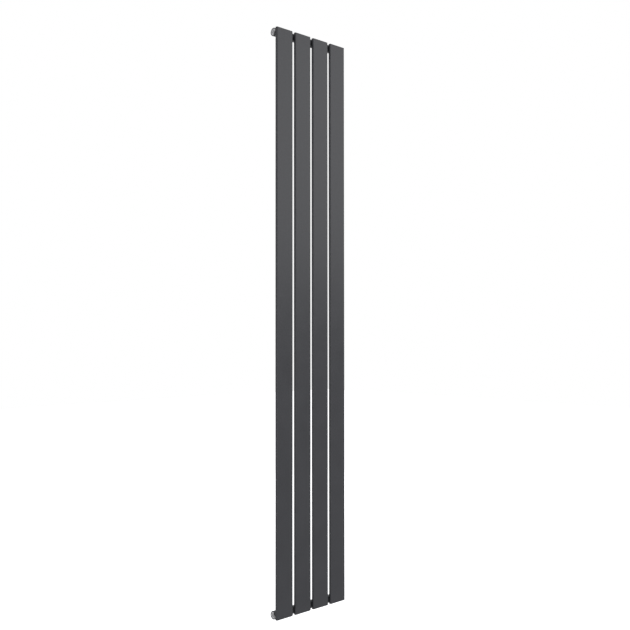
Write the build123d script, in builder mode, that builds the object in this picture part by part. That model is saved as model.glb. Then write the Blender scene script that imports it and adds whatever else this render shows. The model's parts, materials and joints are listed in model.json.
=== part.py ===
"""Vertical flat-panel radiator on wall brackets, millimetres.

Four tall flat water tubes stand side by side in front of two round header tubes, one at the top
and one at the bottom.  The frame has +Z up and -Y towards the room.  Its origin is the middle of
the wall fixings: Y = 0 is the wall, X = 0 is the middle of the width, Z = 0 is half the height.
"""
import os
from math import cos, radians, sin, tan

from build123d import *

os.makedirs("parts", exist_ok=True)

# ---------------------------------------------------------------- driving dimensions
height = 1800.0                # of the panels; the headers stand a little proud of it
wall_to_front = 60.0           # wall to the front face of the panels

panel_count = 4
panel_pitch = 76.0
panel_width = 65.5
panel_depth = 9.5
panel_corner_radius = 3.5
panel_wall = 1.5
cap_thickness = 2.0
cap_edge_radius = 1.2

header_radius = 12.7
header_wall = 1.5
header_inset = 4.0             # header ends stand this far inside the outer panel sides
header_overhang = 1.8          # headers stand this far proud of the panels' top and bottom ends

sleeve_radius = 8.0            # short sleeves that carry water between header and panel
sleeve_bore_radius = 6.5

bush_length = 16.0             # full-diameter part of a threaded end bush
bush_spigot = 4.0              # stepped part inside the header tube
bush_rim_chamfer = 0.8
thread_radius = 9.315          # minor radius of a G 1/2 internal thread
thread_length = 12.0
thread_relief_radius = 9.8
mouth_chamfer = 1.2

shank_radius = 9.25            # external G 1/2 thread drawn at its root, clear of the bush
shank_length = 11.0
o_ring_inner_radius = 9.4
o_ring_outer_radius = 11.6
o_ring_thickness = 1.5         # squeezed between a head and the bush end
o_ring_rounding = 0.7

vent_hex_across_flats = 20.0
vent_hex_thickness = 4.0
vent_hex_chamfer_angle = 30.0
vent_boss_radius = 7.5         # neck that the outlet collar turns on
vent_lip_radius = 8.0          # lip that keeps the collar on the neck
vent_lip_thickness = 0.6
vent_seat_depth = 1.5
vent_air_radius = 1.0
vent_outlet_radius = 0.8

collar_width = 3.4
collar_radius = 9.8
collar_groove_radius = 8.3     # ring channel that joins the outlet to the nozzle at any angle
collar_groove_width = 1.2
nozzle_radius = 1.6
nozzle_bore_radius = 0.7
nozzle_reach = 13.0
running_clearance = 0.06
end_play = 0.1

screw_radius = 3.34
screw_thread_length = 4.7
screw_tip_radius = 1.2
screw_square = 4.6
screw_square_length = 3.0

plug_head_radius = 11.5
plug_head_thickness = 3.5
plug_socket_across_flats = 10.0
plug_socket_depth = 7.0
plug_head_chamfer = 0.8

bracket_spacing = 2 * panel_pitch      # brackets stand behind the first and the last gap
seat_clearance = 0.3                   # header to liner, all round
liner_thickness = 1.5
liner_width = 8.6
liner_lip_depth = 2.5                  # liner sides that straddle the arm
arm_thickness = 3.0
arm_band = 3.5                         # steel left under the liner
arm_rise = 10.0                        # back of the hook above the header's axis
hook_angle = 45.0                      # front lip, measured forwards from straight down
gusset_angle = 25.0
gusset_rise = 24.0
lower_foot_drop = 10.0

plate_width = 36.0
plate_height = 88.0
plate_thickness = 3.0
plate_corner_radius = 6.0
wall_screw_radius = 3.5
wall_slot_length = 14.0
wall_slot_spacing = 1670.0             # upper to lower bracket, slotted holes
wall_hole_spacing = 1640.0             # upper to lower bracket, round holes

# ---------------------------------------------------------------- derived places
front_y = -wall_to_front
panel_y = front_y + panel_depth / 2
panel_back_y = front_y + panel_depth
header_y = panel_back_y + header_radius
header_z = height / 2 + header_overhang - header_radius
header_bore = header_radius - header_wall
panel_centres = [(i - (panel_count - 1) / 2) * panel_pitch for i in range(panel_count)]
overall_width = (panel_count - 1) * panel_pitch + panel_width
header_end = overall_width / 2 - header_inset
header_half_length = header_end - bush_length
header_levels = {"top": header_z, "bottom": -header_z}
through = 2 * header_radius            # longer than any cut it is used for


# ---------------------------------------------------------------- panels and their end caps
tube_length = height - 2 * cap_thickness

for number, x in enumerate(panel_centres, start=1):
    with BuildPart() as panel:
        with BuildSketch(Plane.XY.offset(-tube_length / 2)):
            with Locations((x, panel_y)):
                RectangleRounded(panel_width, panel_depth, panel_corner_radius)
                RectangleRounded(
                    panel_width - 2 * panel_wall,
                    panel_depth - 2 * panel_wall,
                    panel_corner_radius - panel_wall,
                    mode=Mode.SUBTRACT,
                )
        extrude(amount=tube_length)
        with BuildSketch(Plane.XZ.offset(-panel_back_y)):
            with Locations((x, header_z), (x, -header_z)):
                Circle(sleeve_radius)
        extrude(amount=panel_wall, mode=Mode.SUBTRACT)
    panel.part.label = f"panel_{number}"
    export_step(panel.part, f"parts/panel_{number}.step")

    for end, side in (("top", 1), ("bottom", -1)):
        with BuildPart() as cap:
            with BuildSketch(Plane.XY.offset(side * tube_length / 2)):
                with Locations((x, panel_y)):
                    RectangleRounded(panel_width, panel_depth, panel_corner_radius)
            extrude(amount=side * cap_thickness)
            outer_face = cap.faces().sort_by(Axis.Z)[-1 if side > 0 else 0]
            fillet(outer_face.edges(), radius=cap_edge_radius)
        cap.part.label = f"panel_{number}_{end}_cap"
        export_step(cap.part, f"parts/panel_{number}_{end}_cap.step")


# ---------------------------------------------------------------- headers and port sleeves
for end, z in header_levels.items():
    with BuildPart() as header:
        with BuildSketch(Plane.YZ.offset(-header_half_length)):
            with Locations((header_y, z)):
                Circle(header_radius)
                Circle(header_bore, mode=Mode.SUBTRACT)
        extrude(amount=2 * header_half_length)
        with BuildSketch(Plane.XZ.offset(-header_y)):
            with Locations(*[(x, z) for x in panel_centres]):
                Circle(sleeve_radius)
        extrude(amount=through, mode=Mode.SUBTRACT)
    header.part.label = f"{end}_header"
    export_step(header.part, f"parts/{end}_header.step")

    with BuildPart() as port_sleeves:
        with BuildSketch(Plane.XZ.offset(-header_y)):
            with Locations(*[(x, z) for x in panel_centres]):
                Circle(sleeve_radius)
                Circle(sleeve_bore_radius, mode=Mode.SUBTRACT)
        extrude(amount=header_y - panel_back_y + panel_wall)
        with BuildSketch(Plane.YZ.offset(-header_half_length)):
            with Locations((header_y, z)):
                Circle(header_bore)
        extrude(amount=2 * header_half_length, mode=Mode.SUBTRACT)
    port_sleeves.part.label = f"{end}_port_sleeves"
    export_step(port_sleeves.part, f"parts/{end}_port_sleeves.step")


# ---------------------------------------------------------------- threaded end bushes
# Half sections are drawn on an end plane: X runs outwards along the header's axis from its end
# face, Y is the radius.
end_planes = {
    (end, side): Plane(
        origin=(direction * header_end, header_y, z), x_dir=(direction, 0, 0), z_dir=(0, -direction, 0)
    )
    for end, z in header_levels.items()
    for side, direction in (("left", -1), ("right", 1))
}

for (end, side), end_plane in end_planes.items():
    with BuildPart() as bush:
        with BuildSketch(end_plane):
            with BuildLine():
                Polyline(
                    (0, thread_radius + mouth_chamfer),
                    (0, header_radius - bush_rim_chamfer),
                    (-bush_rim_chamfer, header_radius),
                    (-bush_length, header_radius),
                    (-bush_length, header_bore),
                    (-bush_length - bush_spigot, header_bore),
                    (-bush_length - bush_spigot, thread_relief_radius),
                    (-thread_length, thread_relief_radius),
                    (-thread_length, thread_radius),
                    (-mouth_chamfer, thread_radius),
                    close=True,
                )
            make_face()
        revolve(axis=Axis(end_plane.origin, end_plane.x_dir))
    bush.part.label = f"{end}_{side}_bush"
    export_step(bush.part, f"parts/{end}_{side}_bush.step")


# ---------------------------------------------------------------- sealing rings
vent_plane = end_planes[("top", "right")]
plug_plane = end_planes[("bottom", "right")]
vent_axis = Axis(vent_plane.origin, vent_plane.x_dir)
plug_axis = Axis(plug_plane.origin, plug_plane.x_dir)
o_ring_middle = (o_ring_inner_radius + o_ring_outer_radius) / 2

for name, ring_plane, ring_axis in (
    ("vent_o_ring", vent_plane, vent_axis),
    ("plug_o_ring", plug_plane, plug_axis),
):
    with BuildPart() as o_ring:
        with BuildSketch(ring_plane):
            with Locations((o_ring_thickness / 2, o_ring_middle)):
                RectangleRounded(
                    o_ring_thickness, o_ring_outer_radius - o_ring_inner_radius, o_ring_rounding
                )
        revolve(axis=ring_axis)
    o_ring.part.label = name
    export_step(o_ring.part, f"parts/{name}.step")


# ---------------------------------------------------------------- air vent, top right
hex_front = o_ring_thickness + vent_hex_thickness
collar_start = hex_front + end_play
lip_start = collar_start + collar_width + end_play
vent_front = lip_start + vent_lip_thickness
screw_bore_radius = screw_radius + running_clearance
screw_bottom = vent_front - screw_thread_length - vent_seat_depth
outlet_station = collar_start + collar_width / 2

with BuildPart() as vent_body:
    with BuildSketch(vent_plane):
        with BuildLine():
            Polyline(
                (-shank_length, vent_air_radius),
                (-shank_length, shank_radius - 1),
                (1 - shank_length, shank_radius),
                (o_ring_thickness, shank_radius),
                (hex_front, shank_radius),
                (hex_front, vent_boss_radius),
                (lip_start, vent_boss_radius),
                (lip_start, vent_lip_radius),
                (vent_front, vent_lip_radius),
                (vent_front, screw_bore_radius),
                (screw_bottom + vent_seat_depth, screw_bore_radius),
                (screw_bottom, vent_air_radius),
                close=True,
            )
        make_face()
    revolve(axis=vent_axis)
    with BuildSketch(Plane.YZ.offset(header_end + o_ring_thickness)):
        with Locations((header_y, header_z)):
            RegularPolygon(vent_hex_across_flats / 2, 6, major_radius=False)
            Circle(shank_radius - 1, mode=Mode.SUBTRACT)
    extrude(amount=vent_hex_thickness)
    with BuildSketch(vent_plane):
        with BuildLine():
            Polyline(
                (hex_front, vent_hex_across_flats / 2),
                (hex_front, vent_hex_across_flats),
                (hex_front - vent_hex_across_flats / 2 * tan(radians(vent_hex_chamfer_angle)),
                 vent_hex_across_flats),
                close=True,
            )
        make_face()
    revolve(axis=vent_axis, mode=Mode.SUBTRACT)
    with BuildSketch(Plane.XY.offset(header_z)):
        with Locations((header_end + outlet_station, header_y)):
            Circle(vent_outlet_radius)
    extrude(amount=vent_lip_radius, mode=Mode.SUBTRACT)
vent_body.part.label = "vent_body"
export_step(vent_body.part, "parts/vent_body.step")

# The collar turns on the vent's neck; its nozzle points down at rest.
with BuildPart() as outlet_collar:
    with BuildSketch(vent_plane):
        with Locations((outlet_station, (vent_boss_radius + collar_radius) / 2)):
            Rectangle(collar_width, collar_radius - vent_boss_radius)
        with Locations((outlet_station, vent_boss_radius)):
            Rectangle(collar_width, 2 * running_clearance, mode=Mode.SUBTRACT)
            Rectangle(
                collar_groove_width, 2 * (collar_groove_radius - vent_boss_radius), mode=Mode.SUBTRACT
            )
    revolve(axis=vent_axis)
    with BuildSketch(Plane.XY.offset(header_z - collar_radius + nozzle_radius)):
        with Locations((header_end + outlet_station, header_y)):
            Circle(nozzle_radius)
    extrude(amount=collar_radius - nozzle_radius - nozzle_reach)
    with BuildSketch(Plane.XY.offset(header_z - vent_boss_radius)):
        with Locations((header_end + outlet_station, header_y)):
            Circle(nozzle_bore_radius)
    extrude(amount=vent_boss_radius - nozzle_reach, mode=Mode.SUBTRACT)
outlet_collar.part.label = "vent_outlet_collar"
export_step(outlet_collar.part, "parts/vent_outlet_collar.step")

# Closed, the cone stands just off its seat; a square key turns the outer end.
with BuildPart() as bleed_screw:
    with BuildSketch(vent_plane):
        with BuildLine():
            Polyline(
                (screw_bottom + 2 * end_play, 0),
                (screw_bottom + 2 * end_play, screw_tip_radius - 2 * end_play),
                (screw_bottom + vent_seat_depth + end_play, screw_radius - end_play),
                (screw_bottom + vent_seat_depth + 2 * end_play, screw_radius),
                (vent_front - vent_lip_thickness, screw_radius),
                (vent_front - vent_lip_thickness, 0),
                close=True,
            )
        make_face()
    revolve(axis=vent_axis)
    with BuildSketch(Plane.YZ.offset(header_end + vent_front - vent_lip_thickness)):
        with Locations((header_y, header_z)):
            Rectangle(screw_square, screw_square)
    extrude(amount=screw_square_length)
bleed_screw.part.label = "bleed_screw"
export_step(bleed_screw.part, "parts/bleed_screw.step")


# ---------------------------------------------------------------- blanking plug, bottom right
plug_front = o_ring_thickness + plug_head_thickness

with BuildPart() as blanking_plug:
    with BuildSketch(plug_plane):
        with BuildLine():
            Polyline(
                (-shank_length, 0),
                (-shank_length, shank_radius - 1),
                (1 - shank_length, shank_radius),
                (o_ring_thickness, shank_radius),
                (o_ring_thickness, plug_head_radius),
                (plug_front - plug_head_chamfer, plug_head_radius),
                (plug_front, plug_head_radius - plug_head_chamfer),
                (plug_front, 0),
                close=True,
            )
        make_face()
    revolve(axis=plug_axis)
    with BuildSketch(Plane.YZ.offset(header_end + plug_front)):
        with Locations((header_y, -header_z)):
            RegularPolygon(plug_socket_across_flats / 2, 6, major_radius=False)
    extrude(amount=-plug_socket_depth, mode=Mode.SUBTRACT)
blanking_plug.part.label = "blanking_plug"
export_step(blanking_plug.part, "parts/blanking_plug.step")


# ---------------------------------------------------------------- wall brackets
# An arm's outline is drawn in its own side view: X runs from the header's axis to the wall,
# Y runs up from it.
seat_radius = header_radius + seat_clearance
notch_radius = seat_radius + liner_thickness
hook_radius = notch_radius + arm_band
wall_reach = -plate_thickness - header_y
mouth = hook_radius * 3
tangent = radians(gusset_angle)
hook_line = radians(270 - hook_angle)
mouth_corner = (mouth * cos(hook_line), mouth * sin(hook_line))

upper_gusset = [
    (-hook_radius * sin(tangent), -hook_radius * cos(tangent)),
    (wall_reach, -hook_radius * cos(tangent) - (wall_reach + hook_radius * sin(tangent)) * tan(tangent)),
    (wall_reach, arm_rise),
    (0, arm_rise),
]
lower_gusset = [
    (0, -hook_radius),
    (wall_reach, -lower_foot_drop),
    (wall_reach, arm_rise + gusset_rise),
    (hook_radius, arm_rise),
    (0, arm_rise),
]

for level, level_sign, outline in (("upper", 1, upper_gusset), ("lower", -1, lower_gusset)):
    axis_z = level_sign * header_z
    plate_middle = axis_z + level_sign * (arm_rise - plate_height / 2)
    for side, direction in (("left", -1), ("right", 1)):
        x = direction * bracket_spacing / 2

        with BuildPart() as arm:
            side_view = Plane(
                origin=(x - arm_thickness / 2, header_y, axis_z), x_dir=(0, 1, 0), z_dir=(1, 0, 0)
            )
            with BuildSketch(side_view) as arm_outline:
                Circle(hook_radius)
                with BuildLine():
                    Polyline(*outline, close=True)
                make_face()
                Circle(notch_radius, mode=Mode.SUBTRACT)
                with BuildLine():
                    Polyline(
                        (0, 0),
                        mouth_corner,
                        (mouth_corner[0], mouth),
                        (notch_radius, mouth),
                        (notch_radius, 0),
                        close=True,
                    )
                make_face(mode=Mode.SUBTRACT)
                fillet(arm_outline.vertices().sort_by(Axis.X)[:2], radius=arm_band / 3)
            extrude(amount=arm_thickness)
        arm.part.label = f"{level}_{side}_bracket_arm"
        export_step(arm.part, f"parts/{level}_{side}_bracket_arm.step")

        with BuildPart() as liner:
            liner_view = Plane(
                origin=(x - liner_width / 2, header_y, axis_z), x_dir=(0, 1, 0), z_dir=(1, 0, 0)
            )
            with BuildSketch(liner_view):
                Circle(notch_radius + liner_lip_depth)
                with Locations(((notch_radius + liner_lip_depth) / 2, arm_rise / 2)):
                    Rectangle(notch_radius + liner_lip_depth, arm_rise)
                Circle(seat_radius, mode=Mode.SUBTRACT)
                with BuildLine():
                    Polyline(
                        (0, 0),
                        mouth_corner,
                        (mouth_corner[0], mouth),
                        (seat_radius, mouth),
                        (seat_radius, 0),
                        close=True,
                    )
                make_face(mode=Mode.SUBTRACT)
            extrude(amount=liner_width)
            with BuildSketch(side_view):
                Circle(2 * hook_radius)
                Circle(notch_radius, mode=Mode.SUBTRACT)
                with Locations((notch_radius / 2, mouth / 2)):
                    Rectangle(notch_radius, mouth, mode=Mode.SUBTRACT)
            extrude(amount=arm_thickness, mode=Mode.SUBTRACT)
        liner.part.label = f"{level}_{side}_bracket_liner"
        export_step(liner.part, f"parts/{level}_{side}_bracket_liner.step")

        with BuildPart() as wall_plate:
            with BuildSketch(Plane.XZ):
                with Locations((x, plate_middle)):
                    RectangleRounded(plate_width, plate_height, plate_corner_radius)
                with Locations((x, level_sign * wall_slot_spacing / 2)):
                    SlotOverall(wall_slot_length, 2 * wall_screw_radius, mode=Mode.SUBTRACT)
                with Locations((x, level_sign * wall_hole_spacing / 2)):
                    Circle(wall_screw_radius, mode=Mode.SUBTRACT)
            extrude(amount=plate_thickness)
        wall_plate.part.label = f"{level}_{side}_wall_plate"
        export_step(wall_plate.part, f"parts/{level}_{side}_wall_plate.step")
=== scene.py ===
"""Looks of a vertical flat-panel radiator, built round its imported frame, in metres.

+Z is up, -Y faces the room, Y = 0 is the wall and Z = 0 is half the height.
"""
import json
from math import cos, exp, pi, radians, sin, sqrt

import bmesh
import bpy
from mathutils import Matrix, Vector


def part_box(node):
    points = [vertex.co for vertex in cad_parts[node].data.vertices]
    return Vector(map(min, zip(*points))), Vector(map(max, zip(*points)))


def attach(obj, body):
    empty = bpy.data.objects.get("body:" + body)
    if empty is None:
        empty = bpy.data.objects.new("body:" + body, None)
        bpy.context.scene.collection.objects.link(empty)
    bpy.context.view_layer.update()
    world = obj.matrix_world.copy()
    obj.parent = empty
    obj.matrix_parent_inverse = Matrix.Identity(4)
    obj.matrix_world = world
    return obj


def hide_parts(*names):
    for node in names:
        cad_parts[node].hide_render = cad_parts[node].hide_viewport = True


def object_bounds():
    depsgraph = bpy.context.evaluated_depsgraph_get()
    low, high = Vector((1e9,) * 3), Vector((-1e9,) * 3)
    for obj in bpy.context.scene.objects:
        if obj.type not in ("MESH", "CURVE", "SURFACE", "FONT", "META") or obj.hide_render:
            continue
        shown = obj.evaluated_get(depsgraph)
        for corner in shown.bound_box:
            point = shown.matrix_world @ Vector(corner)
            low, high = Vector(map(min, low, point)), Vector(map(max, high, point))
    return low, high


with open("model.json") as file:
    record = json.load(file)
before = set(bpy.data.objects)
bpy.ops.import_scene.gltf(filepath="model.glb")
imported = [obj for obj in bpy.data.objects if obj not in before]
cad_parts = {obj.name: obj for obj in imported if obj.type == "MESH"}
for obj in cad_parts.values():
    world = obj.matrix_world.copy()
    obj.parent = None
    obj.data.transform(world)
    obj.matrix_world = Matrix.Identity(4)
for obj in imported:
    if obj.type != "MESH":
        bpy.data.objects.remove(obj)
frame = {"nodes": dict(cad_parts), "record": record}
cad_low, cad_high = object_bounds()
scene = bpy.context.scene
scene.view_settings.view_transform = "Standard"

MM = 0.001

# ---------------------------------------------------------------- places, from the frame
header_low, header_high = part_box("top_header")
header_y = (header_low.y + header_high.y) / 2
header_z = (header_low.z + header_high.z) / 2
header_radius = (header_high.z - header_low.z) / 2
tube_end = header_high.x                        # where the header tube meets its bushes
header_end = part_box("top_right_bush")[1].x
panels = [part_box(f"panel_{number}") for number in (1, 2, 3, 4)]
panel_back = panels[0][1].y
LEVELS = {"top": header_z, "bottom": -header_z}

# ---------------------------------------------------------------- sizes of the drawn details
TURN_STEPS = 96                                 # points round a turned piece
THREAD_PITCH = 1.814 * MM                       # G 1/2
THREAD_CREST = 9.315 * MM
THREAD_ROOT = 10.478 * MM
THREAD_LENGTH = 12 * MM
MOUTH_RADIUS = 10.515 * MM
BUSH_LENGTH = 16 * MM
BUSH_SPIGOT = 4 * MM
RELIEF_RADIUS = 9.8 * MM
HEADER_WALL = 1.5 * MM
INSERT_RADIUS = 10.9 * MM                       # outside of the bare steel lining
PAINT_EDGE_RADIUS = 9.8 * MM                    # the paint ends here, on the mouth chamfer
PAINT_EDGE_DEPTH = MOUTH_RADIUS - PAINT_EDGE_RADIUS
RUN_OUT = 0.5 * THREAD_PITCH                    # the thread's last half turn fades into the relief
FLANK_SLOPE, CREST_FLAT = 1.25, 0.12            # shape of the thread's ridge
MERGE_DISTANCE = 1e-7
SHARP_ANGLE = radians(32)


# ---------------------------------------------------------------- camera
def make_camera():
    """Stands at the left front, a little below half height, and looks almost level."""
    data = bpy.data.cameras.new("camera")
    data.sensor_width = 36
    data.lens = 49.11
    place = (-1.8648, -2.0150, -0.0306)
    camera = bpy.data.objects.new("camera", data)
    scene.collection.objects.link(camera)
    turn, tilt, roll = radians(-43.839), radians(90 + 1.110), radians(-0.040)
    camera.matrix_world = (
        Matrix.Translation(place)
        @ Matrix.Rotation(turn, 4, "Z")
        @ Matrix.Rotation(tilt, 4, "X")
        @ Matrix.Rotation(roll, 4, "Z")
    )
    scene.camera = camera


make_camera()


# ---------------------------------------------------------------- materials
class Nodes:
    """A small builder for one node tree."""

    def __init__(self, tree):
        self.tree = tree
        tree.nodes.clear()

    def add(self, kind, **settings):
        node = self.tree.nodes.new(kind)
        for name, value in settings.items():
            label = name.replace("_", " ")
            if label in node.inputs:
                node.inputs[label].default_value = value
            else:
                setattr(node, name, value)
        return node

    def link(self, source, target):
        self.tree.links.new(source, target)


def lathe_place(n, place):
    """Distance along the header's axis and from it, so that noise on it makes turning marks."""
    parts = n.add("ShaderNodeSeparateXYZ")
    across = n.add("ShaderNodeMath", operation="SUBTRACT")
    across.inputs[1].default_value = header_y
    folded = n.add("ShaderNodeMath", operation="ABSOLUTE")
    above = n.add("ShaderNodeMath", operation="SUBTRACT")
    above.inputs[1].default_value = header_z
    spoke = n.add("ShaderNodeCombineXYZ")
    radius = n.add("ShaderNodeVectorMath", operation="LENGTH")
    joined = n.add("ShaderNodeCombineXYZ")
    n.link(place, parts.inputs[0])
    n.link(parts.outputs["Y"], across.inputs[0])
    n.link(parts.outputs["Z"], folded.inputs[0])
    n.link(folded.outputs[0], above.inputs[0])
    n.link(across.outputs[0], spoke.inputs["X"])
    n.link(above.outputs[0], spoke.inputs["Y"])
    n.link(spoke.outputs[0], radius.inputs[0])
    n.link(parts.outputs["X"], joined.inputs["X"])
    n.link(radius.outputs["Value"], joined.inputs["Y"])
    return joined.outputs[0]


def finish(
    name, tint, gloss, spread=0.07, cloud=14.0, grain=900.0, depth=0.06, turned=False, edge=0.0,
    **shader_values
):
    """Clouded colour and gloss, with a fine bump: pebbled, or in rings round the axis if turned.

    gloss is the lowest and highest roughness; spread is how far the colour strays either way; cloud
    and grain are the noise scales. depth is the height of the bump and edge is how far sharp edges
    are softened, both in millimetres.
    """
    noise_low, noise_high = 0.3, 0.7              # most of a noise lies between these
    made = bpy.data.materials.new(name)
    made.use_nodes = True
    n = Nodes(made.node_tree)
    out = n.add("ShaderNodeOutputMaterial")
    shader = n.add("ShaderNodeBsdfPrincipled", **shader_values)
    place = n.add("ShaderNodeTexCoord").outputs["Object"]
    clouds = n.add("ShaderNodeTexNoise", Scale=cloud, Detail=3.0, Roughness=0.5)
    grains = n.add("ShaderNodeTexNoise", Scale=grain, Detail=3.0, Roughness=0.55)
    colour = n.add("ShaderNodeValToRGB")
    low, high = colour.color_ramp.elements
    low.position, high.position = noise_low, noise_high
    low.color = (*[(1 - spread) * c for c in tint], 1)
    high.color = (*[min(1, (1 + spread) * c) for c in tint], 1)
    rough = n.add(
        "ShaderNodeMapRange", From_Min=noise_low, From_Max=noise_high, To_Min=gloss[0], To_Max=gloss[1]
    )
    bump = n.add("ShaderNodeBump", Strength=0.4, Distance=depth * MM)
    n.link(place, clouds.inputs["Vector"])
    n.link(lathe_place(n, place) if turned else place, grains.inputs["Vector"])
    n.link(clouds.outputs["Fac"], colour.inputs["Fac"])
    n.link((grains if turned else clouds).outputs["Fac"], rough.inputs["Value"])
    n.link(grains.outputs["Fac"], bump.inputs["Height"])
    if edge:
        softened = n.add("ShaderNodeBevel", Radius=edge * MM, samples=6)
        n.link(softened.outputs["Normal"], bump.inputs["Normal"])
    n.link(colour.outputs["Color"], shader.inputs["Base Color"])
    n.link(rough.outputs["Result"], shader.inputs["Roughness"])
    n.link(bump.outputs["Normal"], shader.inputs["Normal"])
    n.link(shader.outputs["BSDF"], out.inputs["Surface"])
    return made


finishes = {
    "radiator_paint": finish(
        "anthracite_powder_coat", (0.0445, 0.0455, 0.0488), (0.30, 0.35), depth=0.05
    ),
    "bracket_paint": finish(
        "bracket_powder_coat", (0.043, 0.044, 0.047), (0.36, 0.46), cloud=40.0, edge=0.5
    ),
    "threaded_steel": finish(
        "turned_zinc_steel", (0.88, 0.88, 0.87), (0.22, 0.40),
        spread=0.10, cloud=120.0, grain=2600.0, depth=0.03, turned=True, Metallic=1.0,
    ),
    "nickel_plate": finish(
        "nickel_plate", (0.66, 0.64, 0.59), (0.16, 0.28),
        spread=0.05, cloud=90.0, grain=3000.0, depth=0.015, turned=True, edge=0.2, Metallic=1.0,
    ),
    "bare_brass": finish(
        "turned_brass", (0.72, 0.55, 0.27), (0.20, 0.34),
        spread=0.12, cloud=160.0, grain=3000.0, depth=0.02, turned=True, Metallic=1.0,
    ),
    "seal_rubber": finish(
        "seal_rubber", (0.025, 0.025, 0.025), (0.55, 0.72),
        spread=0.20, cloud=300.0, grain=1800.0, depth=0.04,
    ),
    "collar_plastic": finish(
        "white_nylon", (0.80, 0.80, 0.78), (0.38, 0.48),
        spread=0.03, cloud=200.0, grain=1500.0, depth=0.02, Subsurface_Weight=0.1,
    ),
    "liner_plastic": finish(
        "dark_nylon", (0.06, 0.06, 0.06), (0.42, 0.55),
        spread=0.12, cloud=150.0, grain=1300.0, depth=0.05, edge=0.3,
    ),
}

slot_of_node = {part["node"]: part["material_slot"] for part in frame["record"]["subparts"]}
for name, node in frame["nodes"].items():
    node.data.materials.clear()
    node.data.materials.append(finishes[slot_of_node[name]])


# ---------------------------------------------------------------- mesh helpers
def keep_piece(name, shape, slot, body="radiator", stands_for=()):
    """Turns a bmesh into a finished piece that rides on a CAD body."""
    bmesh.ops.remove_doubles(shape, verts=shape.verts, dist=MERGE_DISTANCE)
    bmesh.ops.dissolve_degenerate(shape, edges=shape.edges, dist=MERGE_DISTANCE)
    bmesh.ops.recalc_face_normals(shape, faces=shape.faces)
    mesh = bpy.data.meshes.new(name)
    shape.to_mesh(mesh)
    shape.free()
    mesh.shade_smooth()
    mesh.set_sharp_from_angle(angle=SHARP_ANGLE)
    mesh.materials.append(finishes[slot])
    piece = bpy.data.objects.new(name, mesh)
    scene.collection.objects.link(piece)
    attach(piece, body)
    if stands_for:
        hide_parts(*stands_for)


def skin(shape, rings, closed_along):
    """Quads between neighbouring rings of points, and from the last ring to the first if closed."""
    rows = [[shape.verts.new(p) for p in ring] for ring in rings]
    pairs = list(zip(rows, rows[1:])) + ([(rows[-1], rows[0])] if closed_along else [])
    for a, b in pairs:
        count = len(a)
        for i in range(count):
            j = (i + 1) % count
            shape.faces.new((a[i], a[j], b[j], b[i]))


def flats(half_across, sides):
    """Outline of a regular polygon."""
    wedge = 2 * pi / sides
    return lambda angle: half_across / cos((angle + wedge / 2) % wedge - wedge / 2)


def fluted(radius, depth, count):
    """Outline of a circle with shallow grip grooves."""
    return lambda angle: radius - depth * (0.5 - 0.5 * cos(count * angle)) ** 2


def turned(shape, stations, level, direction, closed=True):
    """Adds a closed form turned about a header's axis.

    A station is how far out from the header's end it is, and a radius or an outline.
    """
    origin = Vector((direction * header_end, header_y, LEVELS[level]))
    rings = []
    for out, outline in stations:
        ring = []
        for step in range(TURN_STEPS):
            angle = 2 * pi * step / TURN_STEPS
            radius = outline(angle) if callable(outline) else outline
            ring.append(origin + Vector((direction * out, radius * cos(angle), radius * sin(angle))))
        rings.append(ring)
    skin(shape, rings, closed)


def bead(
    name, path, radius, slot="radiator_paint", body="radiator", scale=2.2 * MM, ripple=0.13, loop=False
):
    """A weld bead with fish-scale ripples, swept along a path of points.

    scale is the length of a ripple and ripple its share of the radius. Open beads taper at their ends.
    """
    sides, taper_steps, blunt_end = 10, 4, 0.02
    askew = Vector((0.31, 0.53, 0.79))            # lies along none of the paths
    shape = bmesh.new()
    rings, travelled, last = [], 0.0, len(path) - 1
    for i, point in enumerate(path):
        before = path[i - 1] if i or loop else point
        after = path[(i + 1) % len(path)] if i < last or loop else point
        along = (after - before).normalized()
        if i:
            travelled += (point - path[i - 1]).length
        side = along.cross(askew).normalized()
        up = along.cross(side)
        size = radius * (1 - ripple + ripple * abs(sin(pi * travelled / scale)))
        if not loop:
            size *= min(1.0, sqrt(min(i, last - i) / taper_steps + blunt_end))
        rings.append([
            point + size * (side * cos(2 * pi * k / sides) + up * sin(2 * pi * k / sides))
            for k in range(sides)
        ])
    skin(shape, rings, loop)
    if not loop:
        for ring in (rings[0], rings[-1]):
            shape.faces.new([shape.verts.new(p) for p in ring])
    keep_piece(name, shape, slot, body)


# ---------------------------------------------------------------- threaded bushes
def thread_radius(depth, share):
    """Radius of the bush's bore at a depth, and at a share of a turn round it."""
    groove = abs(2 * ((depth / THREAD_PITCH - share) % 1) - 1)    # 1 at the root, 0 at the crest
    flank = min(1.0, max(0.0, FLANK_SLOPE * groove - CREST_FLAT))
    fade = min(1.0, (THREAD_LENGTH - depth) / RUN_OUT)
    radius = THREAD_CREST + (THREAD_ROOT - THREAD_CREST) * flank
    radius = RELIEF_RADIUS + (radius - RELIEF_RADIUS) * fade
    return max(radius, MOUTH_RADIUS - depth)


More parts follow.
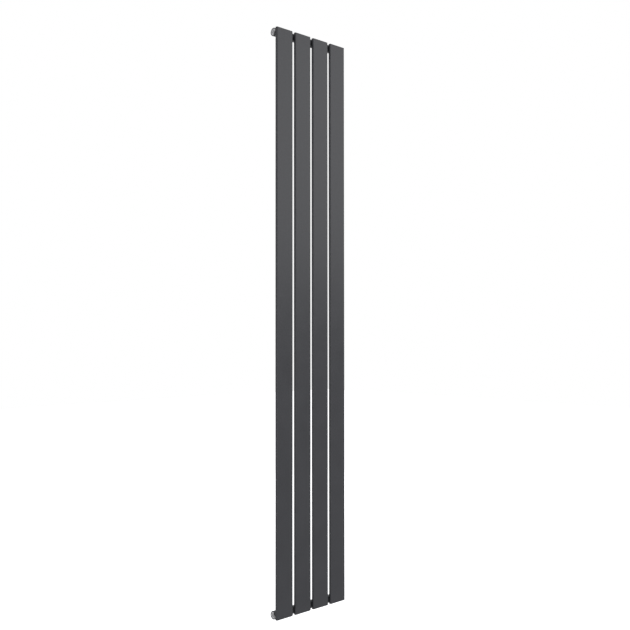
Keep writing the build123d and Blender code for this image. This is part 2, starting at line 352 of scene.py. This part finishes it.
def threaded_bore(shape, level, direction):
    """The bush's bare steel lining: rest of the mouth chamfer, G 1/2 thread, relief and spigot.

    Its rows follow the helix. Rows past either end of the thread fall together there and merge.
    """
    per_pitch, spare_turns = 10, 3
    origin = Vector((direction * header_end, header_y, LEVELS[level]))
    rows = (int(THREAD_LENGTH / THREAD_PITCH) + spare_turns) * per_pitch
    columns = []
    for step in range(TURN_STEPS + 1):
        share = step / TURN_STEPS
        angle = 2 * pi * share
        column = []
        for row in range(rows):
            depth = (row / per_pitch + share - 1) * THREAD_PITCH
            depth = min(max(depth, PAINT_EDGE_DEPTH), THREAD_LENGTH)
            column.append((depth, thread_radius(depth, share)))
        column += [
            (BUSH_LENGTH + BUSH_SPIGOT, RELIEF_RADIUS),
            (BUSH_LENGTH + BUSH_SPIGOT, header_radius - HEADER_WALL),
            (BUSH_LENGTH, header_radius - HEADER_WALL),
            (BUSH_LENGTH, INSERT_RADIUS),
            (PAINT_EDGE_DEPTH, INSERT_RADIUS),
        ]
        columns.append([
            origin + Vector((-direction * depth, radius * cos(angle), radius * sin(angle)))
            for depth, radius in column
        ])
    skin(shape, columns, False)


def make_bush(level, side, direction):
    """A painted outside with a rounded rim, and the bare lining inside it."""
    rim = 0.8 * MM
    shell = bmesh.new()
    turned(shell, [
        (-PAINT_EDGE_DEPTH, PAINT_EDGE_RADIUS),
        (0, MOUTH_RADIUS),
        (0, header_radius - rim),
        (-0.25 * MM, header_radius - 0.3 * MM),
        (-rim, header_radius),
        (-BUSH_LENGTH, header_radius),
        (-BUSH_LENGTH, INSERT_RADIUS),
        (-PAINT_EDGE_DEPTH, INSERT_RADIUS),
    ], level, direction)
    keep_piece(f"{level}_{side}_bush_shell", shell, "radiator_paint")
    lining = bmesh.new()
    threaded_bore(lining, level, direction)
    keep_piece(
        f"{level}_{side}_bush_thread", lining, "threaded_steel", stands_for=(f"{level}_{side}_bush",)
    )


for level in LEVELS:
    for side, direction in (("left", -1), ("right", 1)):
        make_bush(level, side, direction)


# ---------------------------------------------------------------- welds
def make_header_welds():
    """Two beads along each panel's back, in the wedges above and below the header, round the sleeve."""
    half_length, sleeve_swell, sleeve_reach = 25 * MM, 3.0 * MM, 9.0 * MM
    rise, bead_radius = 6.0 * MM, 1.75 * MM
    steps = 130
    for level, z in LEVELS.items():
        for number, (low, high) in enumerate(panels, start=1):
            middle = (low.x + high.x) / 2
            for where, sign in (("upper", 1), ("lower", -1)):
                path = []
                for i in range(steps + 1):
                    x = half_length * (2 * i / steps - 1)
                    away = rise + sleeve_swell * exp(-((x / sleeve_reach) ** 2))
                    surface = header_y - sqrt(header_radius**2 - away**2)
                    path.append(Vector((middle + x, (panel_back + surface) / 2, z + sign * away)))
                bead(f"weld_{level}_panel_{number}_{where}", path, bead_radius)


def make_end_welds():
    """The butt welds between the header tubes and their bushes."""
    steps, sink, bead_radius, ripple_length = 220, 0.25 * MM, 0.55 * MM, 1.6 * MM
    for level, z in LEVELS.items():
        for side, direction in (("left", -1), ("right", 1)):
            radius = header_radius - sink
            path = [
                Vector((direction * tube_end, header_y + radius * cos(2 * pi * i / steps),
                        z + radius * sin(2 * pi * i / steps)))
                for i in range(steps)
            ]
            bead(f"weld_{level}_{side}_bush", path, bead_radius, scale=ripple_length, loop=True)


def make_cap_welds():
    """The ground-down seams between the panels and their end caps."""
    corner, sink, bead_radius = 3.5 * MM, 0.17 * MM, 0.25 * MM
    corner_steps = 8
    for number, (low, high) in enumerate(panels, start=1):
        for level, z in (("top", high.z), ("bottom", low.z)):
            path = []
            for quarter, (cx, cy) in enumerate((
                (high.x - corner, high.y - corner), (low.x + corner, high.y - corner),
                (low.x + corner, low.y + corner), (high.x - corner, low.y + corner),
            )):
                for i in range(corner_steps + 1):
                    angle = pi / 2 * (quarter + i / corner_steps)
                    path.append(Vector((
                        cx + (corner - sink) * cos(angle), cy + (corner - sink) * sin(angle), z
                    )))
            bead(f"weld_panel_{number}_{level}_cap", path, bead_radius, ripple=0.0, loop=True)


def make_bracket_welds():
    """Fillet welds down both sides of each arm, where it meets its wall plate."""
    steps, margin, bead_radius = 70, 2 * MM, 1.6 * MM
    lower_foot = 8 * MM                           # a lower arm's foot starts above its hook
    for level in ("upper", "lower"):
        for side in ("left", "right"):
            low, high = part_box(f"{level}_{side}_bracket_arm")
            foot = low.z + (lower_foot if level == "lower" else 0) + margin
            for where, x in (("left", low.x), ("right", high.x)):
                path = [
                    Vector((x, high.y, foot + (high.z - margin - foot) * i / steps))
                    for i in range(steps + 1)
                ]
                bead(
                    f"weld_{level}_{side}_bracket_{where}", path, bead_radius,
                    "bracket_paint", "wall_brackets",
                )


make_header_welds()
make_end_welds()
make_cap_welds()
make_bracket_welds()


# ---------------------------------------------------------------- blanking plug
def make_plug():
    """Round head with a softened rim, a turned step and a chamfered hexagon socket."""
    seat, front, head, half_socket = 1.5 * MM, 5.0 * MM, 11.5 * MM, 5.0 * MM
    shank, inner_end, socket_depth = 9.25 * MM, -11 * MM, 7 * MM
    step, step_radius, socket_chamfer = 0.2 * MM, 7.4 * MM, 0.35 * MM
    shape = bmesh.new()
    turned(shape, [
        (inner_end, 0),
        (inner_end, 8.25 * MM),
        (-10 * MM, shank),
        (seat, shank),
        (seat, head - 0.25 * MM),
        (seat + 0.25 * MM, head),
        (front - 0.8 * MM, head),
        (front - 0.45 * MM, head - 0.12 * MM),
        (front - 0.15 * MM, head - 0.42 * MM),
        (front, head - 0.8 * MM),
        (front, 7.6 * MM),
        (front - step, step_radius),
        (front - step, flats(half_socket + socket_chamfer, 6)),
        (front - 0.55 * MM, flats(half_socket, 6)),
        (front - socket_depth, flats(half_socket, 6)),
        (front - socket_depth, 0),
    ], "bottom", 1, closed=False)
    keep_piece("blanking_plug_turned", shape, "nickel_plate", stands_for=("blanking_plug",))


make_plug()


# ---------------------------------------------------------------- air vent
vent_low, vent_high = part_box("vent_outlet_collar")
screw_low, screw_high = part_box("bleed_screw")


def make_collar():
    """White nylon collar with grip flutes, and the nozzle that the water leaves by."""
    start, end = vent_low.x - header_end, vent_high.x - header_end
    bore, rim = 7.56 * MM, 9.8 * MM
    grip = fluted(rim, 0.4 * MM, 24)
    edge, rounded = 0.6 * MM, 0.35 * MM           # how far the faces' edges lie inside the rim
    shape = bmesh.new()
    turned(shape, [
        (start, bore),
        (start, rim - edge),
        (start + 0.15 * MM, rim - rounded),
        (start + 0.45 * MM, grip),
        (end - 0.45 * MM, grip),
        (end - 0.15 * MM, rim - rounded),
        (end, rim - edge),
        (end, bore),
    ], "top", 1)
    middle = Vector(((vent_low.x + vent_high.x) / 2, header_y, header_z))
    nozzle_sides = 32
    nozzle = (                                    # distance below the axis, and radius, in mm
        (8.7, 0.7), (8.7, 1.6), (9.5, 1.68), (10.1, 1.6),
        (12.55, 1.42), (12.9, 1.28), (13.0, 1.1), (13.0, 0.7),
    )
    rings = []
    for reach, radius in nozzle:
        ring = []
        for k in range(nozzle_sides):
            angle = 2 * pi * k / nozzle_sides
            across = (radius * MM * cos(angle), radius * MM * sin(angle))
            ring.append(middle + Vector((*across, -reach * MM)))
        rings.append(ring)
    skin(shape, rings, True)
    keep_piece("outlet_collar_fluted", shape, "collar_plastic", "outlet_collar", ("vent_outlet_collar",))


def make_bleed_screw():
    """Turned brass screw with a chamfered square for the key."""
    inner, outer = screw_low.x - header_end, screw_high.x - header_end
    square, disc = 2.3 * MM, outer - 3 * MM       # half across the flats, and where the disc ends
    tip, shank, chamfer = 1.0 * MM, 3.34 * MM, 0.4 * MM
    shape = bmesh.new()
    turned(shape, [
        (inner, 0),
        (inner, tip),
        (inner + 1.4 * MM, 3.24 * MM),
        (inner + 1.6 * MM, shank),
        (disc - 0.25 * MM, shank),
        (disc, 3.1 * MM),
        (disc, flats(square, 4)),
        (outer - chamfer, flats(square, 4)),
        (outer, flats(square - chamfer, 4)),
        (outer, 0),
    ], "top", 1, closed=False)
    keep_piece("bleed_screw_turned", shape, "bare_brass", "bleed_screw", ("bleed_screw",))


make_collar()
make_bleed_screw()


# ---------------------------------------------------------------- light and floor
def make_world():
    """White to the camera. The light it gives is dimmer, and a little brighter from the wall's side."""
    front_light, back_light = (0.57, 0.57, 0.60, 1), (0.60, 0.60, 0.62, 1)
    world = bpy.data.worlds.new("studio")
    world.use_nodes = True
    scene.world = world
    n = Nodes(world.node_tree)
    out = n.add("ShaderNodeOutputWorld")
    seen = n.add("ShaderNodeBackground", Color=(1, 1, 1, 1), Strength=1.0)
    light = n.add("ShaderNodeBackground", Strength=1.0)
    place = n.add("ShaderNodeTexCoord")
    split = n.add("ShaderNodeSeparateXYZ")
    ramp = n.add("ShaderNodeValToRGB")
    front, back = ramp.color_ramp.elements
    front.position, front.color = 0.35, front_light
    back.position, back.color = 0.65, back_light
    depth = n.add("ShaderNodeMapRange", From_Min=-1.0)
    path = n.add("ShaderNodeLightPath")
    mix = n.add("ShaderNodeMixShader")
    n.link(place.outputs["Generated"], split.inputs["Vector"])
    n.link(split.outputs["Y"], depth.inputs["Value"])
    n.link(depth.outputs["Result"], ramp.inputs["Fac"])
    n.link(ramp.outputs["Color"], light.inputs["Color"])
    n.link(path.outputs["Is Camera Ray"], mix.inputs["Fac"])
    n.link(light.outputs["Background"], mix.inputs[1])
    n.link(seen.outputs["Background"], mix.inputs[2])
    n.link(mix.outputs["Shader"], out.inputs["Surface"])


def make_softbox(name, place, aim, width, height, radiance):
    """A soft rectangular light of a given brightness, facing a point."""
    data = bpy.data.lights.new(name, "AREA")
    data.shape = "RECTANGLE"
    data.size, data.size_y = width, height
    data.energy = radiance * pi * width * height
    lamp = bpy.data.objects.new(name, data)
    scene.collection.objects.link(lamp)
    lamp.location = place
    lamp.rotation_mode = "QUATERNION"
    lamp.rotation_quaternion = (Vector(aim) - Vector(place)).to_track_quat("-Z", "Y")
    lamp.visible_camera = False


def make_floor():
    """A pale studio floor under the radiator, so bright that it joins the white background."""
    half_side, squares, drop = 9.0, 12, 0.15
    shape = bmesh.new()
    bmesh.ops.create_grid(shape, x_segments=squares, y_segments=squares, size=half_side)
    mesh = bpy.data.meshes.new("floor")
    shape.to_mesh(mesh)
    shape.free()
    mesh.materials.append(finish(
        "studio_floor", (0.92, 0.92, 0.92), (0.75, 0.85), spread=0.01, cloud=2.0, grain=60.0, depth=0.2,
        Emission_Color=(1, 1, 1, 1), Emission_Strength=0.75,
    ))
    floor = bpy.data.objects.new("floor", mesh)
    scene.collection.objects.link(floor)
    floor.location = (0, 0, cad_low.z - drop)
    floor.visible_diffuse = False
    floor.visible_glossy = False


make_world()
make_softbox(
    "softbox_right_front", place=(2.1, -3.0, 1.51), aim=(0, 0, 1.51), width=3.4, height=2.4, radiance=1.0
)
make_softbox(
    "softbox_left_front", place=(-0.9, -3.2, 0.0), aim=(0, 0, 0), width=1.2, height=3.0, radiance=1.6
)
make_softbox(
    "softbox_right_back", place=(2.2, 2.6, 0.9), aim=(0, 0, 0.2), width=2.2, height=2.6, radiance=1.6
)
make_floor()
